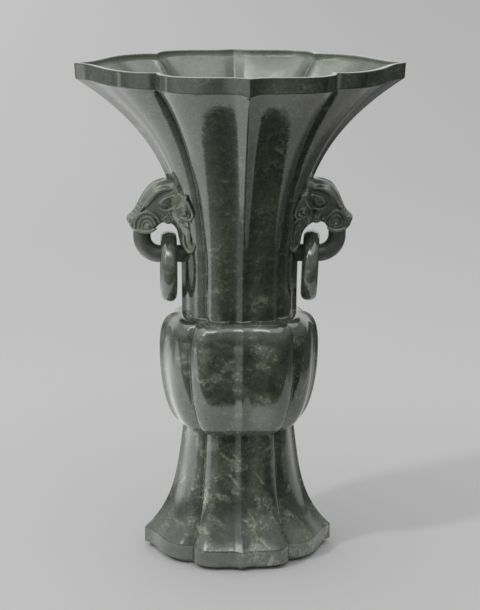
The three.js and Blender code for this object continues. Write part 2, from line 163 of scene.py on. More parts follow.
# Noises of the stone: scale, detail, roughness, distortion, and the values taken as none and full
CLOUDS = (34, 5, 0.66, 0.0, 0.40, 0.72)
FINE_GRAIN = (300, 5, 0.7, 0.3, 0.36, 0.70)
CRUMBS = (560, 4, 0.75, 0.0, 0.50, 0.63)
PATCHES = (70, 3, 0.6, 0.0, 0.50, 0.64)
STREAK_PLACES = (60, 4, 0.65, 0.0, 0.52, 0.66)
SPECKS = (620, 2, 0.5, 0.0, 0.66, 0.74)
# The next noise breaks up the seat's pale line, partly filler and partly painted highlight
FILLER_AND_PAINTED_HIGHLIGHT_PLACES = (110, 4, 0.7, 0.0, 0.36, 0.60)
POLISH = (90, 5, 0.7, 0.0, 0.3, 0.8)

# Plain noises: scale, detail, roughness
WAVER_NOISE = (160, 5, 0.65)
BEND_NOISE = (42, 4, 0.7)
BUMP_NOISE = (125, 4, 0.64)

# How far marks are drawn about, in metres, and how the parts of the mottling are weighed
WAVER = 0.010
FINE_SHARE = 0.15
CRUMB_SHARE = 0.8
SPECK_SHARE = 0.8
SPECK_TONE = 0.3
MARK_CRUMBS = 0.75
MARK_LEAST = 0.28
MARK_DEPTH = 12
STREAKS_PER_METRE = 75.0
STREAK_BEND = 3.2
STREAK_LEAN = 0.25
STREAK_SOFT = 0.3

# Colours of the dark and pale stone and of the seat's pale line, partly filler and partly a painted
# highlight where the edge catches light, and the heights where that line fades
DARK = (0.024, 0.032, 0.021)
CLOUD = (0.20, 0.235, 0.165)
FILLER_AND_PAINTED_HIGHLIGHT = (0.52, 0.58, 0.48, 1)
SEAT_LINE = (151.0, 151.9)

# The floor that the camera sees, in metres, with its far part painted lighter on the left, where the
# light falls
PAPER = 0.430
FLOOR_SIZE = 6.0
FLOOR_DROP = 0.0002
FAR_FADE = (0.35, 1.4)
FAR_PAINTED_LIGHT_LEFT = (0.57, 0.57, 0.57, 1)
FAR_PAINTED_LIGHT_RIGHT = (0.45, 0.45, 0.45, 1)
BACKDROP = (0.5, 0.5, 0.5, 1)

# What the stone reflects of floor and room: an axis, from and to along it, and the tones at either end
TABLE = [
    ("Y", -0.182, -0.158, 0.0, 1.0), ("X", -0.15, 0.20, 0.98, 0.44),
    ("X", 0.26, 0.37, 1.0, 0.2), ("Y", 0.28, 0.42, 1.0, 0.65),
]
TABLE_LEFT_END = ("X", -0.46, -0.32, 0.45, 1.0)
TABLE_LEFT_FRONT = ("Y", 0.08, 0.20, 1.0, 0.0)
BESIDE_TABLE = ("X", -0.30, 0.05, 0.30, 0.02)
FAR_AHEAD = [("Y", -1.10, -0.55, 0.17, 0.0), ("X", -0.6, 0.8, 1.6, 0.4)]
LEAST_FLOOR = 0.01
SKY = [("Z", 0.08, 0.40, 0.0, 0.30), ("Z", 0.60, 0.78, 0.0, 1.15), ("Z", 0.90, 0.98, 0.0, -0.6)]
SKY_LEFT = [("X", -0.9, -0.15, 0.45, 0.0), ("Z", 0.0, 0.35, 0.3, 1.0)]
SKY_BEHIND = [("Y", 0.5, 0.85, 0.0, 0.8), ("Z", 0.3, 0.6, 1.0, 0.0)]
SKY_LEAST = 0.17

# Lamps: distance and target height in metres
LAMP_DISTANCE = 1.8
TARGET_HEIGHT = 0.150

# Camera: degrees, metres, millimetres of lens
CAMERA_AZIMUTH = -3.85
CAMERA_ELEVATION = 15.15
CAMERA_ROLL = -0.43
CAMERA_DISTANCE = 1.041
CAMERA_LENS = 101.74
CAMERA_SHIFT = (0.0012, 0.011)


# Sections and profiles

def mix(a, b, weight):
    """Rows between a and b, with a weight for each or one for all."""
    return a + (b - a) * np.asarray(weight, float)[..., None]


def inset(section, wall):
    return section - np.asarray(wall, float)[..., None] * CORNER_SHARE


def neck_outside(z):
    rise = np.clip((z - NECK_SEAT) / (RIM_BAND - NECK_SEAT), 0, 1)
    top = mix(BAND_FOOT, RIM, np.clip((z - RIM_BAND) / (RIM_TOP - RIM_BAND), 0, 1))
    front = 1 - (1 - rise ** FRONT_TURN) ** FRONT_EASE
    notch = 1 - (1 - rise ** NOTCH_TURN) ** NOTCH_EASE
    share = np.stack([rise ** NECK_TURN, front, notch, (front + notch) / 2], -1)
    return THROAT + (top - THROAT) * share


def neck_inside(z):
    rise = np.clip((z - NECK_SEAT) / (RIM_BAND - NECK_SEAT), 0, 1)
    wall = NECK_WALL + (LIP_WALL - NECK_WALL) * rise
    return np.minimum(inset(neck_outside(z - HOLLOW_LIFT), wall), inset(RIM, LIP_WALL))


def bulb_outside(z):
    upper = np.clip((z - BULB_WIDEST) / (NECK_SEAT - BULB_WIDEST), 0, 1)
    lower = np.clip((BULB_WIDEST - z) / (BULB_WIDEST - FOOT_SEAT), 0, 1)
    shoulder = (1 - upper ** SHOULDER_ROUND) ** (1 / SHOULDER_ROUND)
    belly = (1 - lower ** BELLY_ROUND) ** (1 / BELLY_ROUND)
    above = (z >= BULB_WIDEST)[:, None]
    return np.where(above, mix(THROAT, BULB, shoulder), mix(FOOT_TOP, BULB, belly))


def foot_outside(z):
    fall = np.clip((FOOT_SEAT - z) / (FOOT_SEAT - FOOT_BAND_TOP), 0, 1)
    return mix(FOOT_TOP, FOOT_EDGE, FOOT_SLOPE * fall + (1 - FOOT_SLOPE) * fall ** FOOT_TURN)


def run(zs, sections):
    """Levels (z, section) from heights and one section or one for each."""
    zs = np.atleast_1d(np.asarray(zs, float))
    return np.column_stack([zs, np.broadcast_to(sections, (len(zs), 4))])


def ledge(z, first, last):
    return run([z, z], [first, last])


def heights(start, end, count, crowding=1.0):
    t = np.linspace(0, 1, count + 1)
    return start + (end - start) * (1 - (1 - t) ** crowding)


def cut_back(levels, length):
    """The same levels with the first stretch of that length left out."""
    step = np.hypot(np.diff(levels[:, 0]), np.diff(levels[:, 1]))
    travelled = np.concatenate([[0], np.cumsum(step)])
    length = min(length, travelled[-1] * 0.45)
    support = min(length * 1.6, travelled[-1] * 0.5)
    starts = [[np.interp(d, travelled, column) for column in levels.T] for d in (length, support)]
    return np.vstack([starts, levels[travelled > support * 1.15]])


def joined(runs, radii, closed=False, steps=4):
    """One profile from runs that share their end levels, with each shared level rounded."""
    count = len(runs)
    corners = range(count if closed else count - 1)
    runs = [r.copy() for r in runs]
    bends = {}
    for i in corners:
        after = (i + 1) % count
        corner = runs[i][-1].copy()
        runs[i] = cut_back(runs[i][::-1], radii[i])[::-1]
        runs[after] = cut_back(runs[after], radii[i])
        u = np.linspace(0, 1, steps + 2)[1:-1, None]
        bends[i] = (1 - u) ** 2 * runs[i][-1] + 2 * u * (1 - u) * corner + u ** 2 * runs[after][0]
    parts = []
    for i, levels in enumerate(runs):
        parts.append(levels)
        if i in bends:
            parts.append(bends[i])
    return np.vstack(parts)


# Outlines and skins

def half_lobe(corner, cusp, bulge, t):
    """Points from each corner to its cusp: (levels, points, 2)."""
    chord = cusp - corner
    length = np.linalg.norm(chord, axis=1, keepdims=True)
    outward = np.stack([chord[:, 1], -chord[:, 0]], 1) / length
    outward *= np.sign(np.sum(outward * corner, axis=1, keepdims=True))
    peak = BULGE_RISE / (BULGE_RISE + CUSP_HOLLOW)
    peak_value = peak ** BULGE_RISE * (1 - peak) ** CUSP_HOLLOW
    share = np.clip(t / BULGE_END, 0, 1)
    height = share ** BULGE_RISE * (1 - share) ** CUSP_HOLLOW / peak_value * bulge
    swell = (outward * length)[:, None] * height[None, :, None]
    return corner[:, None] + chord[:, None] * t[None, :, None] + swell


def rounded(start, control, end, shares):
    u = np.asarray(shares)[None, :, None]
    return (1 - u) ** 2 * start[:, None] + 2 * u * (1 - u) * control[:, None] + u ** 2 * end[:, None]


def outlines(sections, cusp_round, notch_round):
    """Closed outlines, anticlockwise from the +X cusp: (levels, points, 2)."""
    levels = len(sections)
    corner = sections[:, 2:4]
    cusps = [sections[:, :1] * (1, 0), sections[:, 1:2] * (0, 1)]
    dense = np.linspace(0, 1, 300) ** 1.3
    even = np.linspace(0, 1, LOBE_POINTS + 1)
    crowd = 0.5 * even + 0.25 * (1 - np.cos(np.pi * even))
    bodies = []
    for cusp, bulge in zip(cusps, (SIDE_BULGE, FRONT_BULGE)):
        half = half_lobe(corner, cusp, bulge, dense)
        step = np.linalg.norm(np.diff(half, axis=1), axis=2)
        body = np.zeros((levels, LOBE_POINTS + 1, 2))
        for i in range(levels):
            travelled = np.concatenate([[0], np.cumsum(step[i])])
            whole = travelled[-1]
            trim = min(1.0, 0.4 * whole / (cusp_round[i] + notch_round[i] + 1e-9))
            first = notch_round[i] * trim
            last = whole - cusp_round[i] * trim
            at = first + (last - first) * crowd
            body[i] = np.stack([np.interp(at, travelled, column) for column in half[i].T], 1)
        bodies.append(body)
    side, front = bodies
    tip_shares = (0.5, 0.375, 0.25, 0.125)
    side_tip = rounded(side[:, -1], cusps[0], side[:, -1] * (1, -1), tip_shares)
    front_tip = rounded(front[:, -1], cusps[1], front[:, -1] * (-1, 1), tip_shares[::-1])
    valley = rounded(side[:, 0], corner, front[:, 0], np.arange(1, 7) / 7)
    quarter = np.concatenate([side_tip, side[:, ::-1], valley, front, front_tip], axis=1)
    back = quarter[:, ::-1]
    parts = [quarter, back * (-1, 1), quarter * (-1, -1), back * (1, -1)]
    return np.concatenate([part[:, :-1] for part in parts], axis=1)


def mesh_object(name, vertices, faces):
    mesh = bpy.data.meshes.new(name)
    mesh.from_pydata((np.asarray(vertices) * MM).tolist(), [], faces)
    mesh.validate()
    mesh.shade_smooth()
    piece = bpy.data.objects.new(name, mesh)
    bpy.context.scene.collection.objects.link(piece)
    return piece


def grid_faces(rows, columns, closed_rows):
    steps = rows if closed_rows else rows - 1
    i, j = np.divmod(np.arange(steps * columns), columns)
    k = (j + 1) % columns
    here, below = i * columns, (i + 1) % rows * columns
    return np.stack([here + j, here + k, below + k, below + j], 1).tolist()


def with_caps(vertices, faces, columns, start, end):
    """The vertices with one more point at each end; the faces that close both ends are added."""
    first, last = len(vertices), len(vertices) + 1
    top = len(vertices) - columns
    for j in range(columns):
        k = (j + 1) % columns
        faces.append([first, k, j])
        faces.append([last, top + j, top + k])
    return np.vstack([vertices, start, end])


def skin(name, levels, rounding, tube=False, reshape=None):
    """A closed skin through the levels; an open stack gets a point at each end's centre.

    rounding is a row of heights, and the rounding of the cusps and of the notches there.
    """
    at, *radii = rounding
    flat = outlines(levels[:, 1:], *(np.interp(levels[:, 0], at, row) for row in radii))
    rows, columns = flat.shape[:2]
    z = np.repeat(levels[:, :1], columns, axis=1)[..., None]
    vertices = np.concatenate([flat, z], axis=2).reshape(-1, 3)
    if reshape:
        vertices = reshape(vertices)
    faces = grid_faces(rows, columns, tube)
    if not tube:
        vertices = with_caps(vertices, faces, columns, [0, 0, levels[0, 0]], [0, 0, levels[-1, 0]])
    return mesh_object(name, vertices, faces)


def undulate(vertices, seed):
    """Draws each point towards the axis by a smooth noise, as hand polishing leaves it."""
    for i, (x, y, z) in enumerate(vertices):
        across, along, up = x / WAVE_SIZE, y / WAVE_SIZE, z / WAVE_SIZE
        value = noise.noise(Vector((across + seed, along, up / 1.6)))
        value += 0.5 * noise.noise(Vector((across * 2.3, along * 2.3 + seed, up * 1.7)))
        reach = math.hypot(x, y)
        if reach > WAVE_LEAST_REACH:
            pull = WAVE_DEPTH * (0.5 + 0.33 * value)
            vertices[i, 0] -= x / reach * pull
            vertices[i, 1] -= y / reach * pull
    return vertices


# The three sections of the vase

def neck_shape(vertices):
    vertices = undulate(vertices, 3.1)
    x, y, z = vertices.T
    dip = np.exp(-(x / RIM_DIP_WIDTH) ** 2) * np.exp(-((z - RIM_BAND) / RIM_DIP_HEIGHT) ** 2)
    vertices[:, 2] -= RIM_DIP * dip * (y < -20)
    return vertices


def neck_piece():
    lip = inset(RIM, LIP_WALL)
    tenon = inset(THROAT, SEAT_SHOULDER)
    bore = inset(THROAT, NECK_WALL)
    bottom = NECK_SEAT - TENON_DEPTH
    outside_z = heights(NECK_SEAT, RIM_BAND, 64, 1.35)
    inside_z = heights(NECK_SEAT, RIM_TOP - LIP_WALL, 44, 1.35)[::-1]
    inside = np.vstack([run(RIM_TOP, lip), run(inside_z, neck_inside(inside_z)), run(bottom, bore)])
    runs = [
        run(outside_z, neck_outside(outside_z)),
        run(heights(RIM_BAND, RIM_TOP, 5), neck_outside(heights(RIM_BAND, RIM_TOP, 5))),
        ledge(RIM_TOP, RIM, lip),
        inside,
        ledge(bottom, bore, tenon),
        run([bottom, NECK_SEAT], tenon),
        ledge(NECK_SEAT, tenon, THROAT),
    ]
    levels = joined(runs, NECK_EDGES, closed=True)
    rounding = ([NECK_SEAT, 200, 280, RIM_TOP], [0.6, 0.6, 0.8, 0.6], [0.6, 0.6, 0.8, 0.8])
    return skin("jade_neck", levels, rounding, tube=True, reshape=neck_shape)


def disc(z, section):
    """Levels of a flat face, from its middle out."""
    shares = np.array([0.03, 0.3, 0.6, 0.85, 1.0])
    return run(np.full(5, z), section * shares[:, None])


def bulb_piece():
    tenon = inset(FOOT_TOP, FOOT_SHOULDER)
    socket = inset(THROAT, SEAT_SHOULDER - CLEARANCE)
    bottom = FOOT_SEAT - TENON_DEPTH
    socket_z = NECK_SEAT - TENON_DEPTH - CLEARANCE
    floor_z = FOOT_SEAT + BULB_FLOOR
    inside_z = heights(floor_z, socket_z, 24)[::-1]
    rise = np.sin(np.pi * (inside_z - floor_z) / (socket_z - floor_z)).clip(0) ** 0.5
    inside = mix(inset(FOOT_TOP, BULB_WALL), inset(bulb_outside(inside_z), BULB_WALL), rise)
    outside_z = np.concatenate([heights(BULB_WIDEST, FOOT_SEAT, 34, 1.6)[::-1],
                                heights(BULB_WIDEST, NECK_SEAT, 30, 1.8)[1:]])
    runs = [
        disc(bottom, tenon),
        run([bottom, FOOT_SEAT], tenon),
        ledge(FOOT_SEAT, tenon, FOOT_TOP),
        run(outside_z, bulb_outside(outside_z)),
        ledge(NECK_SEAT, THROAT, socket),
        run([NECK_SEAT, socket_z], socket),
        ledge(socket_z, socket, inside[0]),
        run(inside_z, inside),
        disc(floor_z, inside[-1])[::-1],
    ]
    levels = joined(runs, BULB_EDGES)
    rounding = ([FOOT_SEAT, BULB_WIDEST, NECK_SEAT], [0.6, 0.9, 0.6], [0.6, 0.8, 0.6])
    return skin("jade_bulb", levels, rounding, reshape=lambda v: undulate(v, 7.7))


def foot_shape(vertices):
    kept = vertices[:, 2] < FOOT_RING + 0.1
    shaped = undulate(vertices.copy(), 12.4)
    shaped[kept] = vertices[kept]
    return shaped


def foot_piece():
    ring = inset(FOOT_EDGE, FOOT_RING_INSET)
    ring_inside = inset(ring, FOOT_RING_WALL)
    socket = inset(FOOT_TOP, FOOT_SHOULDER - CLEARANCE)
    socket_z = FOOT_SEAT - TENON_DEPTH - CLEARANCE
    ceiling_z = socket_z - FOOT_WEB
    inside_z = heights(ceiling_z, FOOT_BAND_TOP, 24, 1.2)
    inside = np.minimum(inset(foot_outside(inside_z + HOLLOW_LIFT), FOOT_WALL), ring_inside)
    outside_z = heights(FOOT_SEAT, FOOT_BAND_TOP, 46, 1.5)[::-1]
    hollow = np.vstack([run(inside_z, inside), run([6.0, 0.0], ring_inside)])
    runs = [
        disc(ceiling_z, inside[0]),
        hollow,
        ledge(0, ring_inside, ring),
        run([0, FOOT_RING], ring),
        ledge(FOOT_RING, ring, FOOT_EDGE),
        run(heights(FOOT_RING, FOOT_BAND_TOP, 5), FOOT_EDGE),
        run(outside_z, foot_outside(outside_z)),
        ledge(FOOT_SEAT, FOOT_TOP, socket),
        run([FOOT_SEAT, socket_z], socket),
        disc(socket_z, socket)[::-1],
    ]
    levels = joined(runs, FOOT_EDGES)
    rounding = ([0, FOOT_BAND_TOP, 40, FOOT_SEAT], [0.7, 0.7, 0.9, 0.6], [0.7, 0.7, 0.8, 0.6])
    return skin("jade_foot", levels, rounding, reshape=foot_shape)


# Carved heads: a distance field on a grid, x outward and z up from the ring's hanging point

VOXEL = 0.42
FIELD_LOW = np.array([-18.5, 0.0, 2.0])
FIELD_HIGH = np.array([26.5, 18.0, 49.0])

HEAD_OUTLINE = [
    (-9, 45), (1.5, 45.6), (9, 43), (13.6, 38.5), (16.4, 33.5), (18.2, 29),
    (20.4, 25.6), (23.2, 22.6), (23.6, 19.2), (21.6, 15.6), (19, 14.1),
    (11.6, 14.1), (9.4, 16.6), (6, 19), (1.7, 19.9), (-1.8, 19),
    (-4.6, 16), (-6, 11), (-7, 6.6), (-9.4, 4.4), (-12, 6.6), (-13.5, 20),
]
CHEEK_OUTLINE = [
    (-4.8, 39.8), (-9.8, 40.2), (-12.4, 34.8), (-14.4, 28.4), (-13.4, 24.6), (-15.2, 21.6),
    (-16.4, 16.4), (-15.8, 9.0), (-11.8, 4.2), (-8.2, 8.8), (-6.9, 14.6), (-4.9, 19.6),
    (-1.6, 24.6), (-1.2, 33),
]
EAR_OUTLINE = [
    (6.4, 32.8), (4.3, 35.6), (0.7, 37.6), (-2.8, 38.4), (-4.8, 37.6), (-2.8, 33.8),
    (-0.4, 30.7), (2.5, 30.1),
]
MUZZLE_OUTLINE = [
    (21.6, 19.2), (19.6, 23.6), (16.2, 27.6), (11.9, 28.6), (7.4, 25.8), (5.2, 20.6),
    (7.4, 17.6), (11.4, 14.6), (16.1, 14.6), (20.6, 16.6),
]
CROWN_LINE = np.array([
    (-2, 44.9), (4.6, 44.4), (9.3, 42.2), (13.2, 37.8), (15.6, 33.9), (17.8, 29.9), (19.2, 26.8),
])
BROW_LINE = np.array([
    (-1.5, 40.6), (3.2, 40.0), (7.4, 37.6), (10.2, 34.4), (12.2, 31.8), (13.8, 30.2), (15.2, 29.0),
])
MANE_LOCKS = 8
FINE_CUT = {"tip": 0.8, "k": 0.1, "samples": 26, "groove": True}


def between(p, q, t, start, end):
    return (p * (end - t) + q * (t - start)) / (end - start)


def smooth_line(points, count, closed=False):
    """A centripetal spline through points of any dimension."""
    knots = np.asarray(points, float)
    if closed:
        knots = np.vstack([knots[-1], knots, knots[:2]])
    else:
        knots = np.vstack([2 * knots[0] - knots[1], knots, 2 * knots[-1] - knots[-2]])
    spans = len(knots) - 3
    line = []
    for s in np.linspace(0, spans, count, endpoint=not closed):
        i = min(int(s), spans - 1)
        four = knots[i:i + 4]
        steps = np.linalg.norm(np.diff(four, axis=0), axis=1).clip(1e-6) ** 0.5
        at = np.concatenate([[0], np.cumsum(steps)])
        t = at[1] + (at[2] - at[1]) * (s - i)
        a = [between(four[j], four[j + 1], t, at[j], at[j + 1]) for j in range(3)]
        b = [between(a[j], a[j + 1], t, at[j], at[j + 2]) for j in range(2)]
        line.append(between(b[0], b[1], t, at[1], at[2]))
    return np.array(line)


def curl(x, z, radius, start, turns, inner=0.25, count=14):
    """Points that wind in from a start angle in degrees."""
    t = np.linspace(0, 1, count)
    angle = math.radians(start) + 2 * math.pi * turns * t
    reach = radius * (1 - (1 - inner) * t)
    return np.stack([x + reach * np.cos(angle), z + reach * np.sin(angle)], 1).tolist()


def melt(a, b, k):
    near = np.maximum(k - np.abs(a - b), 0) / k
    return np.minimum(a, b) - near * near * k / 4


def carve(a, b, k):
    return -melt(-a, b, k)


class Field:
    """A distance field over half a head: negative inside."""

    def __init__(self):
        count = np.ceil((FIELD_HIGH - FIELD_LOW) / VOXEL).astype(int) + 1
        self.axes = [FIELD_LOW[k] + VOXEL * np.arange(count[k]) for k in range(3)]
        self.value = np.full(count, 40.0)

    def window(self, low, high):
        spans = []
        for axis, a, b in zip(self.axes, low, high):
            first = max(np.searchsorted(axis, a) - 1, 0)
            last = np.searchsorted(axis, b) + 1
            spans.append(slice(first, max(last, first + 1)))
        return tuple(spans)

    def grid(self, spans):
        return np.ix_(*(axis[span] for axis, span in zip(self.axes, spans)))

    def flat_distance(self, corners, samples=110):
        """Signed distance to a closed outline in the upright plane."""
        line = smooth_line(corners, samples, closed=True)
        x, z = np.meshgrid(self.axes[0], self.axes[2], indexing="ij")
        best = np.full(x.shape, 1e9)
        inside = np.zeros(x.shape, bool)
        for (ax, az), (bx, bz) in zip(line, np.roll(line, -1, axis=0)):
            ex, ez = bx - ax, bz - az
            share = np.clip(((x - ax) * ex + (z - az) * ez) / (ex * ex + ez * ez + 1e-12), 0, 1)
            best = np.minimum(best, np.hypot(x - ax - share * ex, z - az - share * ez))
            crosses = (az > z) != (bz > z)
            inside ^= crosses & (x < ex * (z - az) / (ez if abs(ez) > 1e-9 else 1e-9) + ax)
        return np.where(inside, -best, best)

    def slab(self, corners, half_thickness, edge_round, k=0.6, crown=0.0):
        flat = self.flat_distance(corners)
        depth = np.clip(-flat / 8.0, 0, 1)
        width = half_thickness + crown * depth * (2 - depth)
        across = flat[:, None, :] + edge_round
        through = self.axes[1][None, :, None] - width[:, None, :] + edge_round
        outer = np.hypot(np.maximum(across, 0), np.maximum(through, 0))
        value = np.minimum(np.maximum(across, through), 0) + outer - edge_round
        self.value = melt(self.value, value, k)

    def tube(self, points, radius, y, tip=0.4, k=0.5, groove=False, samples=22):
        """A round ridge or groove along a path of (x, z)."""
        line = smooth_line([(x, y, z) for x, z in points], samples)
        t = np.linspace(0, 1, samples)
        radii = radius * (tip + (1 - tip) * np.sin(np.pi * t) ** 0.6)
        reach = radius + 2.0
        spans = self.window(line.min(0) - reach, line.max(0) + reach)
        grid = self.grid(spans)
        best = 1e9
        for a, b, ra, rb in zip(line[:-1], line[1:], radii[:-1], radii[1:]):
            edge = b - a
            gaps = [axis - c for axis, c in zip(grid, a)]
            share = sum(gap * e for gap, e in zip(gaps, edge)) / (edge @ edge + 1e-12)
            share = np.clip(share, 0, 1)
            away = np.sqrt(sum((gap - share * e) ** 2 for gap, e in zip(gaps, edge)))
            best = np.minimum(best, away - (ra + (rb - ra) * share))
        part = self.value[spans]
        self.value[spans] = carve(part, best, k) if groove else melt(part, best, k)

    def ball(self, centre, radii, k=0.8):
        centre, radii = np.array(centre, float), np.array(radii, float)
        spans = self.window(centre - radii - 2, centre + radii + 2)
        gaps = [(axis - c) / r for axis, c, r in zip(self.grid(spans), centre, radii)]
        value = (np.sqrt(sum(gap * gap for gap in gaps)) - 1) * radii.min()
        self.value[spans] = melt(self.value[spans], value, k)


def head_field():
    """Half a beast head: mane, ear, cheek curls, muzzle and hanging scrolls."""
    f = Field()
    f.slab(HEAD_OUTLINE, 8.6, 5.0, crown=0.6)
    f.slab(CHEEK_OUTLINE, 12.6, 2.6, k=1.6, crown=0.6)
    f.slab(MUZZLE_OUTLINE, 10.0, 2.6, crown=0.5)

    # Mane: locks that run from the neck over the crown to the brow
    for i in range(MANE_LOCKS):
        share = i / (MANE_LOCKS - 1)
        depth = 9.3 * math.sin(share * math.pi / 2)
        lock = mix(CROWN_LINE, BROW_LINE, share)
        end = len(lock) - i % 2
        f.tube(lock[:end], 1.25 - 0.25 * share, depth, tip=0.6, k=0.12, samples=30)

    # Ear: a leaf with a ridge along it and a hollow behind the ridge, and the locks beside it
    f.slab(EAR_OUTLINE, 12.0, 2.2, k=0.25, crown=1.7)
    f.tube([(5.2, 33.0), (1.8, 36.0), (-2.4, 37.6)], 0.75, 13.2, k=0.3)
    f.tube([(2.6, 31.8), (0.2, 32.8), (-2.0, 35.4), (-3.2, 36.8)], 1.15, 13.7, tip=0.3, k=0.3,
           groove=True)
    f.tube([(5.8, 30.6), (2.4, 28.9), (-1.2, 29.6), (-3.6, 32.8), (-5.8, 36.6)], 0.8, 12.6, k=0.25)
    f.tube([(-2.6, 29.0), (-5.0, 32.4), (-6.6, 35.8), (-9.2, 38.9)], 0.8, 13.2, k=0.25)
    f.ball((-9.4, 12.9, 38.6), (1.7, 1.6, 1.4), k=0.3)

    # Upper cheek scroll: a knob, the groove round it and the outer ridge
    f.tube([(-6.6, 38.4), (-10.4, 36.4), (-12.2, 32.4), (-13.6, 28.4), (-12.2, 25.2), (-8.6, 24.4),
            (-5.4, 26.0)], 1.1, 13.2, tip=0.6, k=0.25, samples=34)
    f.tube([(-6.0, 32.6), (-9.4, 32.4), (-11.2, 29.8), (-10.6, 27.0), (-7.6, 26.0)], 0.75, 13.6,
           tip=0.5, k=0.2, groove=True, samples=26)
    f.ball((-7.9, 12.9, 29.0), (2.3, 1.7, 2.2), k=0.3)
    f.tube(curl(-7.9, 29.0, 1.5, 160, -1.1, inner=0.3), 0.42, 14.4, **FINE_CUT)

    # Hanging scroll: a knob above, a long ridge round it and a tongue between two grooves
    f.tube([(-6.8, 22.4), (-8.6, 24.4), (-11.8, 24.2), (-14.2, 21.2), (-15.4, 16.6), (-15.3, 11.4),
            (-14.0, 7.0), (-11.6, 5.2), (-9.3, 7.4), (-8.4, 10.8), (-8.2, 14.4)],
           1.05, 13.2, tip=0.7, k=0.25, samples=46)
    f.ball((-10.0, 12.9, 21.3), (2.1, 1.7, 2.0), k=0.3)
    f.tube(curl(-10.0, 21.3, 1.4, 200, 1.1, inner=0.3), 0.42, 14.4, **FINE_CUT)
    f.tube([(-13.6, 17.4), (-13.8, 12.0), (-12.6, 8.4), (-11.2, 7.6), (-10.1, 9.6), (-9.7, 13.4),
            (-9.4, 16.6)], 0.7, 13.5, tip=0.5, k=0.2, samples=36, groove=True)
    f.tube([(-11.6, 16.6), (-11.9, 13.0), (-11.5, 10.4)], 0.7, 13.2, tip=0.5, k=0.2)

    # Curl at the corner of the mouth
    f.ball((0.2, 8.7, 22.6), (3.2, 1.3, 2.7), k=0.3)
    f.tube(curl(0.2, 22.7, 2.7, 220, -1.7, inner=0.15), 0.5, 9.9, tip=0.8, k=0.12, samples=40)
    f.tube([(4.4, 27.4), (2.6, 24.4), (3.4, 21.4)], 0.6, 8.9, k=0.2)

    # Muzzle: arches one inside the other over a knob, and the lip below
    ridges = [(7.4, 0.85, -8, False), (5.0, 0.7, -8, False), (2.9, 0.6, -8, False)]
    grooves = [(6.2, 0.55, -4, True), (3.9, 0.55, -4, True)]
    for reach, radius, start, groove in ridges + grooves:
        arch = [(12.6 + reach * math.cos(a), 19.0 + 1.12 * reach * math.sin(a))
                for a in np.radians(np.linspace(start, 168, 11))]
        f.tube(arch, radius, 10.6, tip=0.7, k=0.12, samples=34, groove=groove)
    f.ball((12.4, 10.4, 19.0), (1.5, 0.9, 1.4), k=0.2)
    f.tube([(21.2, 17.6), (17.0, 15.6), (11.6, 15.4), (7.4, 17.4)], 0.9, 10.2, tip=0.6, k=0.2)

    # Bridge of the nose: a straight ridge down to the lip, the nostril, and a row of small curls
    f.tube([(15.0, 29.8), (18.2, 25.8), (21.2, 20.8), (22.0, 18.4)], 0.9, 9.6, tip=0.7, k=0.2)
    f.ball((21.6, 0, 21.6), (3.2, 6.2, 3.6), k=1.0)
    f.ball((21.9, 5.0, 21.3), (2.2, 2.4, 2.2), k=0.6)
    f.tube(curl(21.9, 21.4, 1.3, 20, 1.2, inner=0.2), 0.45, 7.4, **FINE_CUT)
    for x, z in ((16.9, 31.4), (18.3, 29.0), (19.7, 26.8), (21.1, 24.9), (22.4, 23.2)):
        f.ball((x, 1.4, z), (1.2, 1.3, 1.2), k=0.2)
        f.ball((x - 0.3, 4.2, z - 0.3), (1.2, 1.3, 1.2), k=0.2)
        f.ball((x - 1.2, 6.8, z - 0.8), (1.1, 1.3, 1.1), k=0.2)
    return f


def neck_flank(y, z):
    """The neck's outer x at distances y from the middle plane and heights z, all in millimetres."""
    rows = []
    dense = np.linspace(0, 1, 120) ** 1.3
    for height in z:
        section = neck_outside(np.array([height]))
        half = half_lobe(section[:, 2:4], np.array([[section[0, 0], 0.0]]), SIDE_BULGE, dense)[0]
        order = np.argsort(half[:, 1])
        rows.append(np.interp(np.abs(y), half[order, 1], half[order, 0], right=half[order, 0].min()))
    return np.array(rows)


def eased(value, start, end):
    """0 up to start, 1 from end on, and smooth between them."""
    share = np.clip((value - start) / (end - start), 0, 1)
    return share * share * (3 - 2 * share)


def width_share(x, z, spread):
    """How much a head is narrowed at the snout and spread over the neck, sooner higher up."""
    rise = eased(z, *CHEEK_RISE)
    start = SCROLL_SPREAD[0] + (CHEEK_SPREAD[0] - SCROLL_SPREAD[0]) * rise
    end = SCROLL_SPREAD[1] + (CHEEK_SPREAD[1] - SCROLL_SPREAD[1]) * rise
    share = SCROLL_SHARE + (1 - SCROLL_SHARE) * rise
    widening = spread * share * eased(-x, start, end)
    return 1 - SNOUT_NARROWING * eased(x, *SNOUT) + widening


def surface_net(field):
    """Vertices in grid units, and quads, of the surface where the field is zero."""
    shape = np.array(field.shape) - 1
    total = np.zeros((*shape, 3))
    count = np.zeros(shape)
    quads = []
    for axis in range(3):
        low = [slice(None)] * 3
        high = [slice(None)] * 3
        low[axis], high[axis] = slice(None, -1), slice(1, None)
        a, b = field[tuple(low)], field[tuple(high)]
        edge = np.argwhere((a < 0) != (b < 0))
        u, v = [k for k in range(3) if k != axis]
        held = (edge[:, [u, v]] > 0) & (edge[:, [u, v]] < shape[[u, v]])
        edge = edge[held.all(1)]
        value_a, value_b = a[tuple(edge.T)], b[tuple(edge.T)]
        point = edge.astype(float)
        point[:, axis] += value_a / (value_a - value_b)
        cells = []
        for du, dv in ((-1, -1), (0, -1), (0, 0), (-1, 0)):
            cell = edge.copy()
            cell[:, u] += du
            cell[:, v] += dv
            np.add.at(total, tuple(cell.T), point)
            np.add.at(count, tuple(cell.T), 1)
            cells.append(np.ravel_multi_index(tuple(cell.T), shape))
        quad = np.stack(cells, 1)
        turned = value_a < 0 if axis == 1 else value_a > 0
        quad[turned] = quad[turned][:, ::-1]
        quads.append(quad)
    quads = np.vstack(quads)
    used, renumbered = np.unique(quads, return_inverse=True)
    points = total.reshape(-1, 3)[used] / count.reshape(-1)[used, None]
    return points, renumbered.reshape(-1, 4)


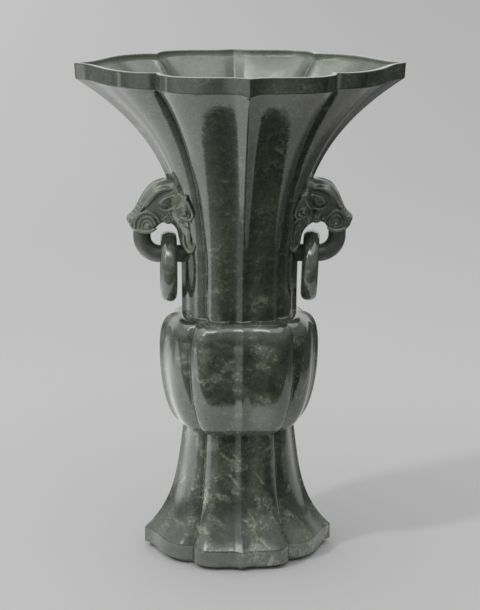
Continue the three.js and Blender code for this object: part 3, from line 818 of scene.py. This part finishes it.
def without_specks(field):
    """The field with each point turned that lies on the other side than all its six neighbours."""
    inside = field < 0
    around = np.pad(inside, 1, mode="edge").astype(int)
    inner = (slice(1, -1),) * 3
    count = sum(np.roll(around, step, axis)[inner] for axis in range(3) for step in (-1, 1))
    alone = (inside & (count == 0)) | (~inside & (count == 6))
    return np.where(alone, -field, field)


def outward_shift(x, z, shift):
    """How far a head's carving is moved out from the neck, above the scroll and behind the snout."""
    return shift * (1 - eased(x, *SNOUT_ROOT)) * eased(z, *SCROLL_TOP)


def head_piece(name, field, spread, shift, side):
    """One head from the half field, spread over the neck and cut to sit on its skin."""
    half = field.value
    whole = np.concatenate([half[:, :0:-1], half], axis=1)
    x, half_y, z = field.axes
    y = np.concatenate([-half_y[:0:-1], half_y])
    for k, height in enumerate(z):
        wide_y = y[None, :] * width_share(x, height, spread)[:, None]
        skin_x = neck_flank(wide_y.ravel(), [height + LOOP_Z])[0].reshape(wide_y.shape) - RING_X
        moved_x = (x + outward_shift(x, height, shift))[:, None]
        whole[:, :, k] = np.maximum(whole[:, :, k], (skin_x - SEAT_DEPTH - moved_x) * SEAT_STEEPNESS)
    points, quads = surface_net(without_specks(whole))
    place = (x[0], y[0], z[0]) + points * VOXEL
    place[:, 1] *= width_share(place[:, 0], place[:, 2], spread)
    place[:, 0] += outward_shift(place[:, 0], place[:, 2], shift)
    place += (RING_X, 0, LOOP_Z)
    if side < 0:
        place[:, 0] *= -1
        quads = quads[:, ::-1]
    return mesh_object(name, place, quads.tolist())


# Loops and rings

def swept(centres, across, radius, sides):
    """A round bar through centres in an upright plane; across is each station's normal in that plane."""
    angle = np.linspace(0, 2 * np.pi, sides, endpoint=False)
    ring = across[:, None] * np.cos(angle)[None, :, None]
    ring = ring + np.array([0, 1, 0]) * np.sin(angle)[None, :, None]
    vertices = (centres[:, None] + ring * radius).reshape(-1, 3)
    faces = grid_faces(len(centres), sides, False)
    return with_caps(vertices, faces, sides, centres[0], centres[-1]), faces


def loop_piece(name, side):
    mouth_x = RING_X + LOOP_REACH
    centre = np.array([mouth_x - LOOP_BEND, 0, LOOP_Z + LOOP_BEND])
    down_z = np.linspace(LOOP_Z + MOUTH_RISE + 1.2, centre[2], 5, endpoint=False)
    down = np.stack([np.full(5, mouth_x), np.zeros(5), down_z], 1)
    bend = np.radians(np.linspace(0, 90, 25))
    round_the_bend = centre + LOOP_BEND * np.stack([np.cos(bend), 0 * bend, -np.sin(bend)], 1)
    inward_x = np.linspace(centre[0], THROAT[0] - LOOP_SOCKET, 13)[1:]
    inward = np.stack([inward_x, 0 * inward_x, np.full(12, LOOP_Z)], 1)
    centres = np.vstack([down, round_the_bend, inward])
    tangent = np.gradient(centres, axis=0)
    tangent /= np.linalg.norm(tangent, axis=1, keepdims=True)
    across = np.stack([tangent[:, 2], 0 * tangent[:, 0], -tangent[:, 0]], 1)
    vertices, faces = swept(centres, across, LOOP_RADIUS, LOOP_SIDES)
    if side < 0:
        vertices[:, 0] *= -1
    else:
        faces = [face[::-1] for face in faces]
    return mesh_object(name, vertices, faces)


def squared(values):
    """Sines or cosines that make a circle slightly squared."""
    return np.sign(values) * np.abs(values) ** RING_SQUARENESS


def ring_piece(name, side, lean, twist):
    """A closed ring round the X axis with a slightly squared oval section."""
    angle = np.linspace(0, 2 * np.pi, RING_SIDES, endpoint=False)
    reach = RING_MIDDLE + RING_RADIAL / 2 * squared(np.cos(angle))
    axial = RING_AXIAL / 2 * squared(np.sin(angle))
    round_x = np.linspace(0, 2 * np.pi, RING_TURNS, endpoint=False)
    x = np.broadcast_to(axial, (RING_TURNS, RING_SIDES))
    y = reach * np.cos(round_x)[:, None]
    z = reach * np.sin(round_x)[:, None] - RING_DROP
    vertices = np.stack([x, y, z], 2).reshape(-1, 3)
    turn = Matrix.Rotation(math.radians(twist), 3, "Z") @ Matrix.Rotation(math.radians(lean), 3, "Y")
    vertices = (np.array(turn) @ vertices.T).T + (side * RING_X, 0, LOOP_Z)
    return mesh_object(name, vertices, grid_faces(RING_TURNS, RING_SIDES, True))


# Materials

def node(tree, kind, sockets, **settings):
    """The outputs of a new node, with its settings made and its sockets given links or plain values."""
    made = tree.nodes.new("ShaderNode" + kind)
    for key, value in settings.items():
        setattr(made, key, value)
    for key, value in sockets.items():
        if isinstance(value, bpy.types.NodeSocket):
            tree.links.new(value, made.inputs[key])
        else:
            made.inputs[key].default_value = value
    return made.outputs


def new_material(name):
    material = bpy.data.materials.new(name)
    material.use_nodes = True
    material.node_tree.nodes.clear()
    return material, material.node_tree


def noise_node(tree, coordinates, scale, detail, roughness, distortion=0.0):
    sockets = {"Vector": coordinates, "Scale": scale, "Detail": detail, "Roughness": roughness}
    return node(tree, "TexNoise", {**sockets, "Distortion": distortion})


def map_range(tree, value, low, high, to_low=0.0, to_high=1.0):
    sockets = {"Value": value, "From Min": low, "From Max": high, "To Min": to_low, "To Max": to_high}
    return node(tree, "MapRange", sockets, interpolation_type="SMOOTHSTEP")["Result"]


def grain(tree, coordinates, kind, to_low=0.0, to_high=1.0):
    """One of the stone's noises, stretched between the values taken as none and full."""
    *settings, low, high = kind
    value = noise_node(tree, coordinates, *settings)["Fac"]
    return map_range(tree, value, low, high, to_low, to_high)


def math_node(tree, operation, *values):
    return node(tree, "Math", dict(enumerate(values)), operation=operation)[0]


def plus(tree, a, b):
    return math_node(tree, "ADD", a, b)


def times(tree, a, b):
    return math_node(tree, "MULTIPLY", a, b)


def vector_node(tree, operation, *values):
    return node(tree, "VectorMath", dict(enumerate(values)), operation=operation)


def colour_mix(tree, share, a, b):
    """The colours' own sockets of a mix are its inputs 6 and 7 and its output 2."""
    return node(tree, "Mix", {0: share, 6: a, 7: b}, data_type="RGBA")[2]


def shader_mix(tree, share, first, second):
    return node(tree, "MixShader", {0: share, 1: first, 2: second})[0]


def wavered(tree, place):
    """Coordinates drawn about a little, so that no mark has a smooth edge."""
    colour = noise_node(tree, place, *WAVER_NOISE)["Color"]
    drawn = vector_node(tree, "MULTIPLY_ADD", colour, (WAVER,) * 3, place)[0]
    return vector_node(tree, "SUBTRACT", drawn, (WAVER / 2,) * 3)[0]


def streak_share(tree, place, coordinates, slope):
    """Bands that brighten slowly and stop sharply at a ragged edge, in scattered places."""
    tilt = math.radians(slope)
    upward = (math.sin(tilt), STREAK_LEAN, math.cos(tilt))
    across = vector_node(tree, "DOT_PRODUCT", coordinates, upward)["Value"]
    bend = times(tree, noise_node(tree, place, *BEND_NOISE)["Fac"], STREAK_BEND)
    phase = plus(tree, times(tree, across, -STREAKS_PER_METRE), bend)
    soft = map_range(tree, math_node(tree, "FRACT", phase), 0.45, 0.97)
    sharp = math_node(tree, "POWER", soft, 4.0)
    streak = plus(tree, times(tree, soft, STREAK_SOFT), times(tree, sharp, 1 - STREAK_SOFT))
    return times(tree, streak, grain(tree, place, STREAK_PLACES))


def spot_share(tree, coordinates, mark):
    """A soft oval mark: its place, half sizes along x and z, tilt in the upright plane, and strength."""
    (x, y, z), (wide, high), tilt, strength = mark
    place = {"Location": (x * MM, y * MM, z * MM), "Rotation": (0, math.radians(-tilt), 0)}
    size = {"Scale": (wide * MM, MARK_DEPTH * MM, high * MM)}
    placed = node(tree, "Mapping", {"Vector": coordinates, **place, **size}, vector_type="TEXTURE")
    reach = vector_node(tree, "LENGTH", placed[0])["Value"]
    return map_range(tree, reach, 0.35, 1.0, strength, 0.0)


def jade(name, dark, pale, roughness=0.09, clouds=0.45, veins=0.6, slope=50, marks=(), line=None):
    """Polished nephrite: dark, with fine mottling, pale clouds, one-sided streaks and black specks."""
    material, tree = new_material(name)
    place = node(tree, "TexCoord", {})["Object"]
    coordinates = wavered(tree, place)

    # Mottling in three sizes
    crumbs = grain(tree, place, CRUMBS)
    cloud = times(tree, grain(tree, coordinates, CLOUDS), clouds)
    share = plus(tree, cloud, times(tree, grain(tree, place, FINE_GRAIN), FINE_SHARE))
    scattered = times(tree, crumbs, grain(tree, coordinates, PATCHES))
    share = plus(tree, share, times(tree, scattered, CRUMB_SHARE * veins))

    # Streaks, and marks that break up into crumbs
    share = plus(tree, share, times(tree, streak_share(tree, place, coordinates, slope), veins))
    broken = plus(tree, times(tree, crumbs, MARK_CRUMBS), MARK_LEAST)
    for mark in marks:
        share = plus(tree, share, times(tree, spot_share(tree, coordinates, mark), broken))
    colour = colour_mix(tree, share, (*dark, 1), (*pale, 1))
    specks = times(tree, grain(tree, place, SPECKS), SPECK_SHARE)
    colour = colour_mix(tree, specks, colour, (*(SPECK_TONE * tone for tone in dark), 1))

    # A pale ragged line at a seat: partly filler, partly a painted highlight where the edge catches
    # light
    if line:
        low, high = line
        height = node(tree, "SeparateXYZ", {0: place})["Z"]
        under = map_range(tree, height, low * MM, high * MM, 1.0, 0.0)
        colour = colour_mix(tree, times(tree, under, grain(tree, place, FILLER_AND_PAINTED_HIGHLIGHT_PLACES)), colour, FILLER_AND_PAINTED_HIGHLIGHT)

    waves = noise_node(tree, place, *BUMP_NOISE)["Fac"]
    bump = {"Strength": BUMP_STRENGTH, "Distance": BUMP_DEPTH, "Height": waves}
    shader = node(tree, "BsdfPrincipled", {
        "Base Color": colour,
        "Roughness": grain(tree, place, POLISH, roughness * POLISH_BEST, roughness * POLISH_WORST),
        "IOR": JADE_IOR,
        "Specular IOR Level": 1.0,
        "Subsurface Weight": GLOW_SHARE,
        "Subsurface Radius": GLOW_COLOUR,
        "Subsurface Scale": GLOW_DEPTH,
        "Normal": node(tree, "Bump", bump)[0],
    })
    node(tree, "OutputMaterial", {"Surface": shader[0]})
    return material


def dress(piece, material, body, slot, *nodes):
    piece.data.materials.append(material)
    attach(piece, body)
    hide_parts(*nodes)


def dress_inside(piece, material):
    """The faces that look towards the axis are less finely polished."""
    piece.data.materials.append(material)
    for face in piece.data.polygons:
        outward = face.center.x * face.normal.x + face.center.y * face.normal.y
        if outward < 0 and face.center.z > NECK_SEAT * MM:
            face.material_index = 1


# Building

NECK_MARKS = [
    ((-15.6, -31.6, 197), (7, 1.4), 12, 0.5), ((-16.5, -30, 191), (6, 1.3), -8, 0.5),
    ((-12, -28.5, 171), (9, 1.6), 10, 0.45), ((-7.3, -30, 183), (6, 1.2), 20, 0.35),
    ((-15, -42, 240), (7, 2.0), -25, 0.25), ((9, -30, 176), (3, 9), 0, 0.2),
    # The two large soft marks on the next row lighten the dark reflected band on the neck's front:
    # painted light
    ((-12, -31, 198), (12, 50), 0, 0.28), ((2, -29, 162), (16, 13), 0, 0.3),
]
BULB_MARKS = [
    ((-15.6, -37.7, 120), (6, 4), 20, 1.0), ((-3.8, -37, 120), (5, 4), -30, 1.0),
    ((-22, -37.6, 132), (6, 3.4), 10, 0.9), ((-8.6, -37, 127), (6, 4), 40, 0.9),
    ((-34.6, -27.3, 128), (7, 5), 0, 0.9), ((-12, -37, 139), (8, 2), -15, 0.5),
    ((11.4, -37.3, 127), (5, 4), 0, 0.8), ((16, -37.7, 134), (7, 2), 55, 0.7),
    ((12, -36, 106), (10, 2.4), -28, 0.6), ((-20, -35, 106), (8, 2.6), 15, 0.6),
    ((-2, -37, 112), (7, 4), 10, 0.7), ((-11, -37, 122), (13, 17), 0, 0.4),
    ((12, -36, 105), (11, 7), 0, 0.3),
]
FOOT_MARKS = [
    ((-25.3, -18.5, 72.8), (4, 6), 0, 1.0), ((-17.2, -25.3, 74), (4, 5), 0, 0.9),
    ((-7.5, -26.8, 65.0), (10, 1.5), -33, 1.6), ((-4.0, -28, 60), (5, 3), -40, 0.8),
    ((-4.4, -28, 53.5), (7, 1.1), -56, 1.6),
    ((11.7, -28.6, 52.8), (6, 1.1), -62, 1.5), ((9.8, -30.7, 39.5), (7, 1.2), -66, 1.5),
    ((-11.3, -30.2, 42.2), (7, 2.6), -40, 1.2), ((7.6, -35, 24), (14, 1.0), -78, 1.5),
    ((-22, -39.8, 14.1), (5, 2.6), 0, 0.9), ((26.5, -38.7, 11.3), (5, 2.2), 10, 0.8),
    ((-40, -22, 24), (8, 3), -30, 0.7), ((-14, -33, 28), (7, 2), -50, 0.7),
    ((-6, -28, 60), (13, 20), 0, 0.35), ((10, -29, 55), (7, 18), 0, 0.3),
]
neck_jade = jade("neck_jade", DARK, CLOUD, clouds=0.14, veins=0.4, slope=8,
                 marks=NECK_MARKS, line=SEAT_LINE)
bulb_jade = jade("bulb_jade", DARK, CLOUD, clouds=0.24, veins=0.8, slope=25,
                 marks=BULB_MARKS)
inner_jade = jade("inner_jade", (0.066, 0.083, 0.056), CLOUD, roughness=0.24, clouds=0.3, veins=0.5,
                  slope=8)
foot_jade = jade("foot_jade", (0.017, 0.022, 0.015), CLOUD, roughness=0.14, clouds=0.26, veins=0.9,
                 slope=58, marks=FOOT_MARKS)
# A darker copy of the carved stone for the right head: painted shade on the side away from the lamps
painted_shade_carved = jade("painted_shade_carved_jade", (0.045, 0.057, 0.039), (0.20, 0.23, 0.17), roughness=0.24,
                   veins=0.2)
carved_jade = jade("carved_jade", (0.078, 0.096, 0.066), (0.22, 0.25, 0.19), roughness=0.28, veins=0.2)
loop_jade = jade("loop_jade", (0.022, 0.029, 0.020), (0.07, 0.08, 0.06), roughness=0.5, veins=0.2)
ring_jade = jade("ring_jade", (0.024, 0.032, 0.020), (0.17, 0.20, 0.14), clouds=0.6, veins=0.4)

neck = neck_piece()
dress(neck, neck_jade, "vase", "body_stone", "trumpet_neck")
dress_inside(neck, inner_jade)
dress(bulb_piece(), bulb_jade, "vase", "body_stone", "bulb_section")
dress(foot_piece(), foot_jade, "vase", "body_stone", "flared_foot")
carving = head_field()
right_head = head_piece("jade_head_right", carving, RIGHT_SPREAD, RIGHT_SHIFT, 1)
dress(right_head, painted_shade_carved, "vase", "carved_stone", "right_beast_head")
left_head = head_piece("jade_head_left", carving, LEFT_SPREAD, LEFT_SHIFT, -1)
dress(left_head, carved_jade, "vase", "carved_stone", "left_beast_head")
dress(loop_piece("jade_loop_right", 1), loop_jade, "vase", "dark_stone", "right_fixed_loop")
dress(loop_piece("jade_loop_left", -1), loop_jade, "vase", "dark_stone", "left_fixed_loop")
right_ring = ring_piece("jade_ring_right", 1, RIGHT_RING_LEAN, RIGHT_RING_TWIST)
dress(right_ring, ring_jade, "right_ring", "ring_stone", "right_loose_ring")
dress(ring_piece("jade_ring_left", -1, 0, 0), ring_jade, "left_ring", "ring_stone", "left_loose_ring")


# Stage, lights and camera

def ramps(tree, axes, *rows):
    """The product of tones that each change smoothly along an axis."""
    tone = None
    for axis, *ends in rows:
        step = map_range(tree, axes[axis], *ends)
        tone = step if tone is None else times(tree, tone, step)
    return tone


def floor():
    s = FLOOR_SIZE
    mesh = bpy.data.meshes.new("floor")
    corners = [(-s, -s, 0), (s, -s, 0), (s, s, 0), (-s, s, 0)]
    mesh.from_pydata(corners, [], [(0, 1, 2, 3)])
    plane = bpy.data.objects.new("floor", mesh)
    plane.location.z = -FLOOR_DROP
    bpy.context.scene.collection.objects.link(plane)
    material, tree = new_material("floor_paper")
    place = node(tree, "TexCoord", {})["Object"]
    axes = node(tree, "SeparateXYZ", {0: place})

    # What the camera sees: plain paper with the shadow, fading far behind to a tone painted lighter on
    # the left, where the light falls
    paper = node(tree, "BsdfDiffuse", {0: (PAPER, PAPER, PAPER, 1)})[0]
    across = map_range(tree, axes["X"], -0.9, 0.9)
    glow = node(tree, "Emission", {0: colour_mix(tree, across, FAR_PAINTED_LIGHT_LEFT, FAR_PAINTED_LIGHT_RIGHT)})[0]
    far = map_range(tree, vector_node(tree, "LENGTH", place)["Value"], *FAR_FADE)
    seen = shader_mix(tree, far, paper, glow)

    # What the stone reflects: a pale table that ends just in front of the vase, and darker ground
    ends = [ramps(tree, axes, row) for row in (TABLE_LEFT_END, TABLE_LEFT_FRONT)]
    table = times(tree, ramps(tree, axes, *TABLE), math_node(tree, "MAXIMUM", *ends))
    ground = plus(tree, ramps(tree, axes, BESIDE_TABLE), ramps(tree, axes, *FAR_AHEAD))
    tone = plus(tree, math_node(tree, "MAXIMUM", table, ground), LEAST_FLOOR)
    bounce = node(tree, "BsdfDiffuse", {0: tone})[0]
    camera_ray = node(tree, "LightPath", {})["Is Camera Ray"]
    node(tree, "OutputMaterial", {"Surface": shader_mix(tree, camera_ray, bounce, seen)})
    mesh.materials.append(material)


def direction(azimuth, elevation):
    """From the vase towards a lamp or the camera, both angles in degrees and 0, 0 straight in front."""
    a, e = math.radians(azimuth), math.radians(elevation)
    return Vector((math.sin(a) * math.cos(e), -math.cos(a) * math.cos(e), math.sin(e)))


def lamp(name, azimuth, elevation, width, height, level):
    """A flat lamp; level is what it adds to a white surface that faces it."""
    away = direction(azimuth, elevation)
    light = bpy.data.lights.new(name, "AREA")
    light.shape = "RECTANGLE"
    light.size = width
    light.size_y = height
    light.energy = level * (math.pi * LAMP_DISTANCE) ** 2
    made = bpy.data.objects.new(name, light)
    made.location = Vector((0, 0, TARGET_HEIGHT)) + away * LAMP_DISTANCE
    made.rotation_mode = "QUATERNION"
    made.rotation_quaternion = away.to_track_quat("Z", "Y")
    bpy.context.scene.collection.objects.link(made)
    return made


def world():
    """A studio whose light comes from high windows, from a sheet on the left and from behind."""
    studio = bpy.data.worlds.new("studio")
    bpy.context.scene.world = studio
    studio.use_nodes = True
    tree = studio.node_tree
    tree.nodes.clear()
    axes = node(tree, "SeparateXYZ", {0: node(tree, "TexCoord", {})["Generated"]})
    level = plus(tree, ramps(tree, axes, *SKY_LEFT), ramps(tree, axes, *SKY_BEHIND))
    for row in SKY:
        level = plus(tree, level, ramps(tree, axes, row))
    light = node(tree, "Background", {0: (1, 1, 1, 1), 1: plus(tree, level, SKY_LEAST)})[0]

    # Past the floor's end the camera sees about the floor's far tone
    backdrop = node(tree, "Background", {0: BACKDROP})[0]
    camera_ray = node(tree, "LightPath", {})["Is Camera Ray"]
    node(tree, "OutputWorld", {"Surface": shader_mix(tree, camera_ray, light, backdrop)})


def camera():
    back = direction(CAMERA_AZIMUTH, CAMERA_ELEVATION)
    right = -direction(CAMERA_AZIMUTH - 90, 0)
    up = back.cross(right)
    roll = math.radians(CAMERA_ROLL)
    x_axis = right * math.cos(roll) - up * math.sin(roll)
    y_axis = right * math.sin(roll) + up * math.cos(roll)
    data = bpy.data.cameras.new("photo_camera")
    data.sensor_width = 36
    data.lens = CAMERA_LENS
    data.shift_x, data.shift_y = CAMERA_SHIFT
    data.clip_start = 0.05
    data.clip_end = 40
    eye = bpy.data.objects.new("photo_camera", data)
    turn = Matrix((x_axis, y_axis, back)).transposed().to_4x4()
    turn.translation = Vector((0, 0, TARGET_HEIGHT)) + back * CAMERA_DISTANCE
    eye.matrix_world = turn
    bpy.context.scene.collection.objects.link(eye)
    bpy.context.scene.camera = eye


floor()
world()

# Lamps: the glossy surfaces don't show the first one, and the other two only show there
lamp("key_lamp", -60, 40, 0.14, 0.14, 0.31).visible_glossy = False
lamp("glint_lamp", -48, 38, 0.34, 0.34, 0.03).visible_diffuse = False
lamp("shoulder_lamp", -24, 54, 1.1, 0.36, 0.105).visible_diffuse = False
camera()
bpy.context.scene.view_settings.view_transform = "Standard"
